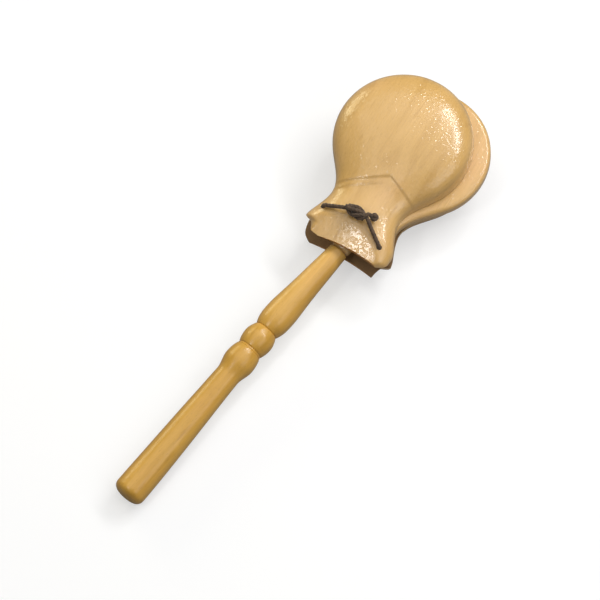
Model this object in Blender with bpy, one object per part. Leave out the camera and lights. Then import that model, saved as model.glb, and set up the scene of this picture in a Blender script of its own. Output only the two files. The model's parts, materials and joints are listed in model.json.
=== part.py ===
"""A handle castanet: a turned handle with a flat board on its end, and a carved wooden shell tied
loosely on either face of the board with one cord.

Everything is laid out in the frame of the board: X runs from the handle to the head, Z is square to
the board's faces and X = 0 is the line through the two cord holes, about which each shell claps.
The whole then leans by a small angle, so that it lies on a table as it would: on the back of the
rear shell and on the end of the handle."""

import math

import bmesh
import bpy
from mathutils import Matrix, Vector

# Gaps and overruns shared by the whole object
CLEARANCE = 0.0003
OVERRUN = 0.004

# Handle, measured from its round end
HANDLE_LENGTH = 0.1508
BUTT_RADIUS = 0.0075
BUTT_ROUNDING = 0.0046
BUTT_FULL_AT = 0.0090
GRIP_WAIST_AT = 0.0728
GRIP_WAIST_RADIUS = 0.0057
GRIP_TAPER = 0.030
COLLAR_AT = 0.0815
COLLAR_RADIUS = 0.0074
LOWER_GROOVE_AT = 0.0894
LOWER_GROOVE_RADIUS = 0.0060
BEAD_AT = 0.0954
BEAD_RADIUS = 0.0073
UPPER_GROOVE_AT = 0.1018
UPPER_GROOVE_RADIUS = 0.0058
VASE_AT = 0.1106
VASE_RADIUS = 0.0076
VASE_TAPER = 0.058
HANDLE_TOP_RADIUS = 0.0049
HANDLE_TOP_CHAMFER = 0.0006
TENON_RADIUS = 0.0027
TENON_LENGTH = 0.0140
TENON_CHAMFER = 0.0005
HANDLE_SIDES = 28
STRETCH_STEPS = 7

# Board between the shells
BOARD_THICKNESS = 0.0070
BOARD_EDGE_ROUNDING = 0.0022
BOARD_REACH = 0.0518
BOARD_RADIUS = 0.0313
BOARD_WAIST_AT = 0.0140
BOARD_WAIST_HALF_WIDTH = 0.0155
BOARD_EAR_HALF_WIDTH = 0.0205
BOARD_EAR_BELOW_HOLES = 0.0032
BOARD_NECK_HALF_WIDTH = 0.0046
BOARD_NECK_LENGTH = 0.0052
HANDLE_TO_HOLES = 0.0100
ARC_STEPS = 34

# Shells
SHELL_THICKNESS = 0.0160
SHELL_REACH = 0.0494
SHELL_RADIUS = 0.0327
SHELL_SIDE_SLOPE_DEG = 33.0
SHELL_WAIST_AT = 0.0138
SHELL_WAIST_HALF_WIDTH = 0.0174
SHELL_EAR_AT = 0.0028
SHELL_EAR_HALF_WIDTH = 0.0232
SHELL_EAR_FLARE = 0.42
SHELL_NOTCH_AT = 0.0052
SHELL_NOTCH_HALF_WIDTH = 0.0188
SHELL_NOTCH_FLARE = 0.45
SHELL_SHOULDER_AT = 0.0072
SHELL_SHOULDER_HALF_WIDTH = 0.0229
SHELL_SHOULDER_FLARE = 0.25
SHELL_END_AT = 0.0112
SHELL_END_NOTCHED_HALF_WIDTH = 0.0176
SHELL_END_ROUND_HALF_WIDTH = 0.0186
SHELL_END_FLARE = 1.80
SHELL_END_HOLLOW = 0.0019
SHELL_NECK_AT = 0.0230
SHELL_NECK_HEIGHT = 0.0114
SHELL_NECK_SLOPE = 0.24
SHELL_RIDGE_HEIGHT = 0.0098
END_FACET_HEIGHT = 0.0057
END_FACET_SLOPE_DEG = 22.0
BACK_CROWN_share = 0.17
BOWL_EDGE_POWER = 4.2
NECK_EDGE_POWER = 2.8
HOLLOW_RADIUS = 0.0225
HOLLOW_DEPTH = 0.0092
HOLLOW_OFFSET = 0.0010
HOLLOW_POWER = 2.6
REST_FLAT_DEPTH = 0.0005
REST_BEFORE_REACH = 0.0050
FRONT_SHELL_TURN_DEG = 10.6
REAR_SHELL_TURN_DEG = 6.5
SECTION_STEPS = 24
SECTION_CROWDING = 1.7

# Cord holes and the way the shells open
HOLE_SPACING = 0.0330
CORD_RADIUS = 0.00095
CLAP_ANGLE_DEG = 15.0
RELIEF_MARGIN_DEG = 5.0

# Knot on the front shell, one strand wound about the other, placed from the middle of the hole line
KNOT_ALONG = 0.0052
KNOT_ASIDE = 0.0009
KNOT_TURN_DEG = 5.5
KNOT_WRAP_TURNS = 4 + 1 / 3
KNOT_WRAP_START_DEG = 210.0
KNOT_WRAP_POINTS = 12
KNOT_CLEARANCE = 0.00025
KNOT_TAIL_LENGTH = 0.0040
# Places on the tail after it leaves the winding, as shares of the cord's radius along the knot, of the
# tail's length out towards the bowl, and of the winding's radius upward
TAIL_shares = ((0.9, 0.34, 0.75), (2.2, 0.56, 0.05), (3.9, 0.68, -0.70))

COLOURS = {
    "handle_wood": (0.50, 0.29, 0.08, 1.0),
    "shell_wood": (0.72, 0.46, 0.19, 1.0),
    "cord": (0.045, 0.030, 0.018, 1.0),
}
ROUGHNESS = {"handle_wood": 0.38, "shell_wood": 0.33, "cord": 0.80}

HALF_BOARD = BOARD_THICKNESS / 2
HINGE_HEIGHT = HALF_BOARD + CLEARANCE / 2
SHELL_SEAT = CLEARANCE / 2
HOLE_RADIUS = CORD_RADIUS + CLEARANCE
BUTT_X = -(HANDLE_TO_HOLES + HANDLE_LENGTH)


def make_material(name):
    material = bpy.data.materials.new(name)
    material.use_nodes = True
    shader = material.node_tree.nodes["Principled BSDF"]
    shader.inputs["Base Color"].default_value = COLOURS[name]
    shader.inputs["Roughness"].default_value = ROUGHNESS[name]
    shader.inputs["Metallic"].default_value = 0.0
    material.diffuse_color = COLOURS[name]
    return material


def make_empty(name, parent, location, rotation=(0, 0, 0)):
    empty = bpy.data.objects.new(name, None)
    empty.parent = parent
    empty.location = location
    empty.rotation_euler = rotation
    bpy.context.scene.collection.objects.link(empty)
    return empty


def make_object(name, data, parent, material=None):
    thing = bpy.data.objects.new(name, data)
    thing.parent = parent
    bpy.context.scene.collection.objects.link(thing)
    if material:
        data.materials.append(material)
    return thing


def make_mesh(name, bm, smooth_angle_deg=40.0):
    """Turns a bmesh into a mesh whose faces point out, shaded smooth but for its sharp edges."""
    bmesh.ops.recalc_face_normals(bm, faces=bm.faces)
    mesh = bpy.data.meshes.new(name)
    bm.to_mesh(mesh)
    bm.free()
    mesh.shade_smooth()
    mesh.set_sharp_from_angle(angle=math.radians(smooth_angle_deg))
    return mesh


def cut(target, cutter, operation="DIFFERENCE"):
    modifier = target.modifiers.new(cutter.name, "BOOLEAN")
    modifier.operation = operation
    modifier.solver = "EXACT"
    modifier.object = cutter
    cutter.hide_render = True
    cutter.display_type = "WIRE"


def hermite(start, end, t):
    """A point on the cubic between two stations, each a place, a value and a slope there."""
    (x0, y0, m0), (x1, y1, m1) = start, end
    span = x1 - x0
    value = (
        (2 * t**3 - 3 * t**2 + 1) * y0
        + (t**3 - 2 * t**2 + t) * span * m0
        + (3 * t**2 - 2 * t**3) * y1
        + (t**3 - t**2) * span * m1
    )
    return x0 + span * t, value


def value_at(stations, x):
    """Reads a value between the stations' first and last places."""
    for start, end in zip(stations, stations[1:]):
        if x <= end[0]:
            return hermite(start, end, (x - start[0]) / (end[0] - start[0]))[1]
    return stations[-1][1]


def revolve(name, outline, sides):
    """Spins an outline of (along, radius) points about the X axis. Both its ends lie on the axis."""
    bm = bmesh.new()
    rings = []
    for along, radius in outline:
        if radius == 0:
            rings.append([bm.verts.new((along, 0, 0))])
            continue
        angles = [2 * math.pi * i / sides for i in range(sides)]
        rings.append([bm.verts.new((along, radius * math.cos(a), radius * math.sin(a))) for a in angles])
    for ring, following in zip(rings, rings[1:]):
        for i in range(sides):
            j = (i + 1) % sides
            if len(ring) == 1:
                bm.faces.new((ring[0], following[i], following[j]))
            elif len(following) == 1:
                bm.faces.new((ring[i], following[0], ring[j]))
            else:
                bm.faces.new((ring[i], following[i], following[j], ring[j]))
    return make_mesh(name, bm)


def make_cylinder(name, radius, bottom, top, sides=24):
    """An upright cylinder on the Z axis, from one height to the other."""
    bm = bmesh.new()
    middle = Matrix.Translation((0, 0, (bottom + top) / 2))
    bmesh.ops.create_cone(
        bm, cap_ends=True, segments=sides, radius1=radius, radius2=radius, depth=top - bottom, matrix=middle
    )
    return make_mesh(name, bm)


def make_prism(name, outline, half_width):
    """Extrudes an outline of (x, z) points evenly to either side along Y."""
    bm = bmesh.new()
    face = bm.faces.new([bm.verts.new((x, -half_width, z)) for x, z in outline])
    pushed = bmesh.ops.extrude_face_region(bm, geom=[face])
    moved = [item for item in pushed["geom"] if isinstance(item, bmesh.types.BMVert)]
    bmesh.ops.translate(bm, verts=moved, vec=(0, 2 * half_width, 0))
    return make_mesh(name, bm)


def handle_outline():
    """The turned profile from the butt to the top, then down into the tenon's blind bore."""
    outline = []
    for i in range(STRETCH_STEPS + 1):
        angle = math.pi / 2 * i / STRETCH_STEPS
        outline.append((BUTT_ROUNDING * (1 - math.cos(angle)), BUTT_RADIUS * math.sin(angle)))
    outline[0] = (0, 0)
    stations = [
        (BUTT_ROUNDING, BUTT_RADIUS, 0),
        (BUTT_FULL_AT, BUTT_RADIUS, 0),
        (GRIP_WAIST_AT, GRIP_WAIST_RADIUS, 0),
        (COLLAR_AT, COLLAR_RADIUS, 0),
        (LOWER_GROOVE_AT, LOWER_GROOVE_RADIUS, 0),
        (BEAD_AT, BEAD_RADIUS, 0),
        (UPPER_GROOVE_AT, UPPER_GROOVE_RADIUS, 0),
        (VASE_AT, VASE_RADIUS, 0),
        (HANDLE_LENGTH - HANDLE_TOP_CHAMFER, HANDLE_TOP_RADIUS, -VASE_TAPER),
    ]
    for start, end in zip(stations, stations[1:]):
        if start[0] == BUTT_FULL_AT:
            start = (*start[:2], -GRIP_TAPER)
            end = (*end[:2], -GRIP_TAPER / 2)
        steps = 2 if start[0] == BUTT_ROUNDING else STRETCH_STEPS
        outline += [hermite(start, end, (i + 1) / steps) for i in range(steps)]
    bore_radius = TENON_RADIUS + CLEARANCE
    bore_end = HANDLE_LENGTH - TENON_LENGTH - CLEARANCE
    outline.append((HANDLE_LENGTH, HANDLE_TOP_RADIUS - HANDLE_TOP_CHAMFER))
    outline.append((HANDLE_LENGTH, bore_radius))
    outline.append((bore_end, bore_radius))
    outline.append((bore_end, 0))
    return [(BUTT_X + along, radius) for along, radius in outline]


def board_half_outline():
    """One side of the board's outline, from its neck round the ear and waist to the tip."""
    neck_end = -HANDLE_TO_HOLES + CLEARANCE
    shoulder = neck_end + BOARD_NECK_LENGTH
    ear_low = -BOARD_EAR_BELOW_HOLES
    side = math.radians(SHELL_SIDE_SLOPE_DEG)
    arc_start = (BOARD_REACH - BOARD_RADIUS * math.sin(side), BOARD_RADIUS * math.cos(side))
    points = [(neck_end, BOARD_NECK_HALF_WIDTH)]
    corner = BOARD_EAR_HALF_WIDTH - BOARD_NECK_HALF_WIDTH
    for i in range(STRETCH_STEPS + 1):
        angle = math.pi / 2 * i / STRETCH_STEPS
        along = shoulder + (ear_low - shoulder) * math.sin(angle)
        points.append((along, BOARD_NECK_HALF_WIDTH + corner * (1 - math.cos(angle))))
    ear = (-ear_low, BOARD_EAR_HALF_WIDTH, 0)
    waist = (BOARD_WAIST_AT, BOARD_WAIST_HALF_WIDTH, 0)
    bowl = (*arc_start, math.tan(side))
    points += [hermite(ear, waist, i / STRETCH_STEPS) for i in range(STRETCH_STEPS)]
    points += [hermite(waist, bowl, i / STRETCH_STEPS) for i in range(STRETCH_STEPS)]
    for i in range(ARC_STEPS // 2 + 1):
        angle = -side + (math.pi / 2 + side) * i / (ARC_STEPS // 2)
        points.append((BOARD_REACH + BOARD_RADIUS * math.sin(angle), BOARD_RADIUS * math.cos(angle)))
    return points


def build_handle(frame, wood):
    return make_object("handle", revolve("handle", handle_outline(), HANDLE_SIDES), frame, wood)


def build_board(frame, wood):
    """The clapper board: flat, round-edged, with a neck and a round tenon glued into the handle."""
    half = board_half_outline()
    outline = half[:-1] + [(half[-1][0], 0)] + [(x, -y) for x, y in reversed(half[:-1])]
    bm = bmesh.new()
    face = bm.faces.new([bm.verts.new((x, y, -HALF_BOARD)) for x, y in outline])
    pushed = bmesh.ops.extrude_face_region(bm, geom=[face])
    moved = [item for item in pushed["geom"] if isinstance(item, bmesh.types.BMVert)]
    bmesh.ops.translate(bm, verts=moved, vec=(0, 0, BOARD_THICKNESS))
    board = make_object("clapper_board", make_mesh("clapper_board", bm), frame, wood)
    rounding = board.modifiers.new("round_edge", "BEVEL")
    rounding.width = BOARD_EDGE_ROUNDING
    rounding.segments = 3
    rounding.limit_method = "ANGLE"
    rounding.angle_limit = math.radians(60)
    tenon_end = -HANDLE_TO_HOLES - TENON_LENGTH
    tenon_root = -HANDLE_TO_HOLES + BOARD_NECK_LENGTH
    tenon_outline = [
        (tenon_end, 0),
        (tenon_end, TENON_RADIUS - TENON_CHAMFER),
        (tenon_end + TENON_CHAMFER, TENON_RADIUS),
        (tenon_root, TENON_RADIUS),
        (tenon_root, 0),
    ]
    tenon = make_object("tenon", revolve("tenon", tenon_outline, HANDLE_SIDES), frame)
    cut(board, tenon, "UNION")
    for side, name in ((1, "left"), (-1, "right")):
        drill = make_cylinder(f"board_drill_{name}", HOLE_RADIUS, -BOARD_THICKNESS, BOARD_THICKNESS)
        drill = make_object(f"board_drill_{name}", drill, frame)
        drill.location = (0, side * HOLE_SPACING / 2, 0)
        cut(board, drill)
    return board


def shell_half_width(along, side):
    """Distance from the shell's middle line to its edge: side 1 has the notched ear, side -1 the round one."""
    slope = math.radians(SHELL_SIDE_SLOPE_DEG)
    bowl_start = SHELL_REACH - SHELL_RADIUS * math.sin(slope)
    if along >= bowl_start:
        return math.sqrt(max(0, SHELL_RADIUS**2 - (along - SHELL_REACH) ** 2))
    if along >= -SHELL_EAR_AT:
        stations = [
            (-SHELL_EAR_AT, SHELL_EAR_HALF_WIDTH, -SHELL_EAR_FLARE),
            (SHELL_WAIST_AT, SHELL_WAIST_HALF_WIDTH, 0),
            (bowl_start, SHELL_RADIUS * math.cos(slope), math.tan(slope)),
        ]
    elif side > 0:
        stations = [
            (-SHELL_END_AT, SHELL_END_NOTCHED_HALF_WIDTH, 0),
            (-SHELL_NOTCH_AT, SHELL_NOTCH_HALF_WIDTH, SHELL_NOTCH_FLARE),
            (-SHELL_EAR_AT, SHELL_EAR_HALF_WIDTH, SHELL_NOTCH_FLARE),
        ]
    else:
        stations = [
            (-SHELL_END_AT, SHELL_END_ROUND_HALF_WIDTH, SHELL_END_FLARE),
            (-SHELL_SHOULDER_AT, SHELL_SHOULDER_HALF_WIDTH, SHELL_SHOULDER_FLARE),
            (-SHELL_EAR_AT, SHELL_EAR_HALF_WIDTH, 0),
        ]
    return value_at(stations, along)


def crown(edge_share, power):
    """Height of the back, as a share of the middle's, at a share of the way out to the edge."""
    roll = max(0, 1 - edge_share**power) ** (1 / power)
    return (1 - BACK_CROWN_share * edge_share**2) * roll


def spine_height(along):
    """Height of the back along its middle line: the ears' bridge, the neck, then the bowl."""
    if along >= SHELL_REACH:
        return SHELL_THICKNESS * crown(min(1, (along - SHELL_REACH) / SHELL_RADIUS), BOWL_EDGE_POWER)
    bridge_slope = (SHELL_NECK_HEIGHT - SHELL_RIDGE_HEIGHT) / SHELL_NECK_AT
    if along < 0:
        return SHELL_RIDGE_HEIGHT + bridge_slope * along
    stations = [
        (0, SHELL_RIDGE_HEIGHT, bridge_slope),
        (SHELL_NECK_AT, SHELL_NECK_HEIGHT, SHELL_NECK_SLOPE),
        (SHELL_REACH, SHELL_THICKNESS, 0),
    ]
    return value_at(stations, along)


def edge_power(along):
    """How squarely the back rolls over at its edge: squarer on the bowl than on the neck."""
    share = min(1, max(0, along / SHELL_REACH))
    return NECK_EDGE_POWER + (BOWL_EDGE_POWER - NECK_EDGE_POWER) * share


def back_height(along, aside):
    """Height of the shell's carved back over its flat inner face, end facet included."""
    edge_share = min(1, abs(aside) / shell_half_width(along, aside))
    facet_foot = SHELL_END_AT - SHELL_END_HOLLOW
    facet = END_FACET_HEIGHT + (along + facet_foot) * math.tan(math.radians(END_FACET_SLOPE_DEG))
    return min(facet, spine_height(along) * crown(edge_share, edge_power(along)))


def shell_stations():
    """Places along the shell where its sections stand, closer together at the tip."""
    side = math.radians(SHELL_SIDE_SLOPE_DEG)
    bowl_start = SHELL_REACH - SHELL_RADIUS * math.sin(side)
    stretches = [
        (-SHELL_END_AT, -SHELL_NOTCH_AT, 3),
        (-SHELL_NOTCH_AT, -SHELL_EAR_AT, 3),
        (-SHELL_EAR_AT, bowl_start, ARC_STEPS // 2),
    ]
    places = [low + (high - low) * i / steps for low, high, steps in stretches for i in range(steps)]
    for i in range(ARC_STEPS // 2):
        angle = -side + (math.pi / 2 + side) * i / (ARC_STEPS // 2)
        places.append(SHELL_REACH + SHELL_RADIUS * math.sin(angle))
    return places


def shell_mesh():
    """Lofts the shell's sections, each a flat inner face under a crowned back, to a point at the tip."""
    bm = bmesh.new()
    rings = []
    for along in shell_stations():
        power = edge_power(along)
        ring = []
        for i in range(SECTION_STEPS + 1):
            across = 2 * i / SECTION_STEPS - 1
            edge_share = 1 - (1 - abs(across)) ** SECTION_CROWDING
            aside = math.copysign(edge_share, across) * shell_half_width(along, across)
            ring.append(bm.verts.new((along, aside, spine_height(along) * crown(edge_share, power))))
        rings.append(ring)
    for ring, following in zip(rings, rings[1:]):
        for i in range(len(ring)):
            j = (i + 1) % len(ring)
            bm.faces.new((ring[i], following[i], following[j], ring[j]))
    tip = bm.verts.new((SHELL_REACH + SHELL_RADIUS, 0, 0))
    for i in range(len(rings[-1])):
        bm.faces.new((rings[-1][i], tip, rings[-1][(i + 1) % len(rings[-1])]))
    bm.faces.new(rings[0])
    return make_mesh("shell", bm, smooth_angle_deg=50.0)


def hollow_outline():
    """Half the section of the sound hollow, as (height, radius) points from its floor to its mouth."""
    points = []
    for i in range(STRETCH_STEPS + 2):
        angle = math.pi / 2 * i / (STRETCH_STEPS + 1)
        radius = HOLLOW_RADIUS * math.sin(angle) ** (2 / HOLLOW_POWER)
        points.append((HOLLOW_DEPTH * max(0, math.cos(angle)) ** (2 / HOLLOW_POWER), radius))
    points[0] = (HOLLOW_DEPTH, 0)
    points[-1] = (0, HOLLOW_RADIUS)
    return points + [(-OVERRUN, HOLLOW_RADIUS), (-OVERRUN, 0)]


def build_shell(name, hinge, turn_deg, wood):
    """One carved shell on its hinge line: hollowed, faceted at its end and relieved behind the line."""
    shell = make_object(name, shell_mesh(), hinge, wood)
    shell.location = (0, 0, SHELL_SEAT)
    shell.rotation_euler = (0, 0, math.radians(turn_deg))

    for side, place in ((1, "left"), (-1, "right")):
        drill = make_cylinder(f"{name}_drill_{place}", HOLE_RADIUS, -OVERRUN, SHELL_THICKNESS)
        drill = make_object(f"{name}_drill_{place}", drill, hinge)
        drill.location = (0, side * HOLE_SPACING / 2, 0)
        cut(shell, drill)

    hollow = make_object(f"{name}_hollow", revolve("hollow", hollow_outline(), ARC_STEPS), shell)
    hollow.location = (SHELL_REACH + HOLLOW_OFFSET, 0, 0)
    hollow.rotation_euler = (0, -math.pi / 2, 0)
    cut(shell, hollow)

    half_chord = SHELL_END_ROUND_HALF_WIDTH
    end_radius = (half_chord**2 + SHELL_END_HOLLOW**2) / (2 * SHELL_END_HOLLOW)
    end_arc = make_cylinder(f"{name}_end_arc", end_radius, -OVERRUN, SHELL_THICKNESS + OVERRUN, 96)
    end_arc = make_object(f"{name}_end_arc", end_arc, shell)
    end_arc.location = (-SHELL_END_AT + SHELL_END_HOLLOW - end_radius, 0, 0)
    cut(shell, end_arc)

    slope = math.tan(math.radians(END_FACET_SLOPE_DEG))
    foot = -SHELL_END_AT + SHELL_END_HOLLOW
    low_x = -SHELL_END_AT - OVERRUN
    high_x = foot + (SHELL_THICKNESS - END_FACET_HEIGHT) / slope
    facet_outline = [
        (low_x, END_FACET_HEIGHT + (low_x - foot) * slope),
        (high_x, SHELL_THICKNESS),
        (low_x, SHELL_THICKNESS),
    ]
    facet = make_prism(f"{name}_end_facet", facet_outline, SHELL_EAR_HALF_WIDTH + OVERRUN)
    cut(shell, make_object(f"{name}_end_facet", facet, shell))

    relief = math.tan(math.radians(CLAP_ANGLE_DEG + RELIEF_MARGIN_DEG))
    reach = SHELL_END_AT + SHELL_EAR_HALF_WIDTH
    relief_outline = [(0, SHELL_SEAT), (-reach, SHELL_SEAT + reach * relief), (-reach, -OVERRUN), (0, -OVERRUN)]
    wedge = make_prism(f"{name}_relief", relief_outline, SHELL_EAR_HALF_WIDTH + OVERRUN)
    cut(shell, make_object(f"{name}_relief", wedge, hinge))

    return shell


def cut_rest_flat(shell, hinge, rest_x, slope):
    """Planes off the rear shell's crown, so that it lies flat on the table that the butt also touches."""
    rest = SHELL_SEAT + SHELL_THICKNESS - REST_FLAT_DEPTH
    low_x, high_x = 0, SHELL_REACH + SHELL_RADIUS
    outline = [
        (low_x, rest + (low_x - rest_x) * slope),
        (high_x, rest + (high_x - rest_x) * slope),
        (high_x, rest + SHELL_THICKNESS),
        (low_x, rest + SHELL_THICKNESS),
    ]
    plane = make_prism(f"{shell.name}_rest_plane", outline, SHELL_REACH + SHELL_RADIUS)
    cut(shell, make_object(f"{shell.name}_rest_plane", plane, hinge))


def smooth_route(points, steps):
    """Reads an even curve through the route's own points, the same number of steps in each stretch."""
    padded = [2 * points[0] - points[1], *points, 2 * points[-1] - points[-2]]
    route = []
    for a, b, c, d in zip(padded, padded[1:], padded[2:], padded[3:]):
        for i in range(steps):
            t = i / steps
            bend = (2 * b) + (c - a) * t + (2 * a - 5 * b + 4 * c - d) * t**2 + (3 * b - a - 3 * c + d) * t**3
            route.append(bend / 2)
    return route + [points[-1]]


def make_cord(name, route, parent, material):
    curve = bpy.data.curves.new(name, "CURVE")
    curve.dimensions = "3D"
    curve.bevel_depth = CORD_RADIUS
    curve.bevel_resolution = 2
    curve.use_fill_caps = True
    spline = curve.splines.new("POLY")
    spline.points.add(len(route) - 1)
    for point, place in zip(spline.points, route):
        point.co = (*place, 1)
    return make_object(name, curve, parent, material)


def lies_on_shell(x, y, turn_deg, lift=0.0):
    """A point of a cord lying on a shell's back, in the frame of that shell's hinge line."""
    turn = math.radians(turn_deg)
    along = x * math.cos(turn) + y * math.sin(turn)
    aside = y * math.cos(turn) - x * math.sin(turn)
    height = SHELL_SEAT + back_height(along, aside) + CLEARANCE + CORD_RADIUS
    return Vector((x, y, height + lift))


def leg_and_bend(side, turn_deg, towards):
    """The cord from the hinge line up its hole and over the hole's edge, heading for a point."""
    y = side * HOLE_SPACING / 2
    mouth = lies_on_shell(0, y, turn_deg)
    heading = (Vector(towards) - Vector((0, y))).normalized()
    over = Vector((0, y)) + heading * HOLE_RADIUS
    down = Vector((0, y)) + heading * (3 * HOLE_RADIUS)
    return [
        Vector((0, y, CLEARANCE)),
        Vector((0, y, mouth.z / 2)),
        Vector((0, y, mouth.z - CORD_RADIUS)),
        lies_on_shell(*over, turn_deg, CLEARANCE),
        lies_on_shell(*down, turn_deg, CLEARANCE),
    ]


def build_front_cord(hinge, material):
    """The two strands on the front shell: the left one is wound about the right one as the knot."""
    wrap_radius = 2 * CORD_RADIUS + KNOT_CLEARANCE
    pitch = 2 * CORD_RADIUS + CLEARANCE
    length = pitch * KNOT_WRAP_TURNS
    turn = math.radians(KNOT_TURN_DEG)
    axis = Vector((math.sin(turn), -math.cos(turn), 0))
    ahead = Vector((math.cos(turn), math.sin(turn), 0))
    up = Vector((0, 0, 1))
    centre = lies_on_shell(KNOT_ALONG, KNOT_ASIDE, FRONT_SHELL_TURN_DEG, wrap_radius + CLEARANCE)

    def near_knot(along, forward, rise):
        return centre + axis * along + ahead * forward + up * rise

    winding = []
    count = round(KNOT_WRAP_TURNS * KNOT_WRAP_POINTS)
    for i in range(count + 1):
        angle = math.radians(KNOT_WRAP_START_DEG) - 2 * math.pi * KNOT_WRAP_TURNS * i / count
        along = length * (i / count - 1 / 2)
        winding.append(near_knot(along, wrap_radius * math.cos(angle), wrap_radius * math.sin(angle)))
    arrive = near_knot(-length / 2 - 2 * CORD_RADIUS, -wrap_radius - CORD_RADIUS, -wrap_radius)
    tail = [
        near_knot(length / 2 + CORD_RADIUS * ahead_share, KNOT_TAIL_LENGTH * out_share, wrap_radius * rise_share)
        for ahead_share, out_share, rise_share in TAIL_shares
    ]
    lead = leg_and_bend(1, FRONT_SHELL_TURN_DEG, arrive.xy)
    left_route = smooth_route([*lead, arrive, winding[0]], 3)[:-1] + winding
    left_route += smooth_route([winding[-1], *tail], 3)[1:]
    make_cord("front_cord_left", left_route, hinge, material)

    leave = near_knot(length / 2 + CORD_RADIUS, 0, 0)
    lead = leg_and_bend(-1, FRONT_SHELL_TURN_DEG, leave.xy)
    stub = near_knot(-length / 2 - CORD_RADIUS, 0, 0)
    middle = near_knot(0, 0, 0)
    halfway = (lead[-1] + leave) / 2
    right_route = smooth_route([*lead, halfway, leave, middle, stub], 3)
    make_cord("front_cord_right", right_route, hinge, material)


def build_board_legs(frame, material):
    """The two short stretches of cord inside the board's own holes."""
    for side, place in ((1, "left"), (-1, "right")):
        y = side * HOLE_SPACING / 2
        top = HALF_BOARD - CLEARANCE
        ends = [Vector((0, y, -top)), Vector((0, y, 0)), Vector((0, y, top))]
        make_cord(f"board_cord_{place}", ends, frame, material)


def build_rear_cord(hinge, material):
    """The cord's loop over the back of the rear shell, from hole to hole."""
    left = leg_and_bend(1, -REAR_SHELL_TURN_DEG, (0, 0))
    right = leg_and_bend(-1, -REAR_SHELL_TURN_DEG, (0, 0))
    middle = lies_on_shell(0, 0, -REAR_SHELL_TURN_DEG, CLEARANCE)
    make_cord("rear_cord", smooth_route([*left, middle, *reversed(right)], 3), hinge, material)


def main():
    for old in list(bpy.data.objects):
        bpy.data.objects.remove(old)
    handle_wood = make_material("handle_wood")
    shell_wood = make_material("shell_wood")
    cord = make_material("cord")

    rest_turn = math.radians(REAR_SHELL_TURN_DEG)
    rest_x = (SHELL_REACH - REST_BEFORE_REACH) * math.cos(rest_turn)
    rest_y = (SHELL_REACH - REST_BEFORE_REACH) * math.sin(rest_turn)
    rest_depth = HINGE_HEIGHT + SHELL_SEAT + SHELL_THICKNESS - REST_FLAT_DEPTH
    lean_slope = (rest_depth - BUTT_RADIUS) / (rest_x - BUTT_X - BUTT_FULL_AT)
    lean = math.atan(lean_slope)
    leaning = Matrix.Rotation(-lean, 3, "Y")
    rest_point = leaning @ Vector((rest_x, rest_y, -rest_depth))
    frame = make_empty("castanet_frame", None, -rest_point, (0, -lean, 0))
    front_hinge = make_empty("front_hinge", frame, (0, 0, HINGE_HEIGHT))
    rear_hinge = make_empty("rear_hinge", frame, (0, 0, -HINGE_HEIGHT), (math.pi, 0, 0))

    build_handle(frame, handle_wood)
    build_board(frame, shell_wood)
    build_shell("front_shell", front_hinge, FRONT_SHELL_TURN_DEG, shell_wood)
    rear_shell = build_shell("rear_shell", rear_hinge, -REAR_SHELL_TURN_DEG, shell_wood)
    cut_rest_flat(rear_shell, rear_hinge, rest_x, lean_slope)
    build_front_cord(front_hinge, cord)
    build_board_legs(frame, cord)
    build_rear_cord(rear_hinge, cord)


main()
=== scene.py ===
"""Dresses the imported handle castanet: fine carved shells, a turned handle, a round-edged board and a
twisted cord, each in the place of its CAD node, with procedural wood and cord materials.

The shapes follow the same stations as the CAD model, laid out in the frame of the board: X runs from the
handle to the head, Z is square to the board and X = 0 is the line through the cord holes. Lengths are in
metres."""

import json
import math

import bmesh
import bpy
from mathutils import Matrix, Vector, noise


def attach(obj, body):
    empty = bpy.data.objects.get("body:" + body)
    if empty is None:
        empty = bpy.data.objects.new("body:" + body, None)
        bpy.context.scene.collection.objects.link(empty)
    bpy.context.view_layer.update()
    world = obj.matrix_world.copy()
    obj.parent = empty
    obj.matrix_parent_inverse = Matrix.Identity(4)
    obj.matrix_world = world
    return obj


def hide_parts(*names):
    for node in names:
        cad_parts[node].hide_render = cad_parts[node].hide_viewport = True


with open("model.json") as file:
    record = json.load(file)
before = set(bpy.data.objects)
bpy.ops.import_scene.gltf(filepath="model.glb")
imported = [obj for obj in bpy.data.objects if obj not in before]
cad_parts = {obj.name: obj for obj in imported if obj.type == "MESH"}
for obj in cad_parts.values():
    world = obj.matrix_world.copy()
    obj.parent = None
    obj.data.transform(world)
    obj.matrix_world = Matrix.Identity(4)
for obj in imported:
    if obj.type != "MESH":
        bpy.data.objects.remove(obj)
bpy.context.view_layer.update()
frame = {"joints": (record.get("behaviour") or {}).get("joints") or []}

# Places of the two hinge lines and the lean of the instrument on the table
HINGES = {joint["name"]: Vector(joint["pos_m"]) for joint in frame["joints"]}
FRONT_HINGE = HINGES["front_clap"]
REAR_HINGE = HINGES["rear_clap"]
LEAN = math.radians(3.4467797)

# Gap between pieces, half the board's thickness, a shell's half of the gap and how far cuts run over
CLEARANCE = 0.0003
HALF_BOARD = 0.0035
SHELL_SEAT = CLEARANCE / 2
OVERRUN = 0.004

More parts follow.
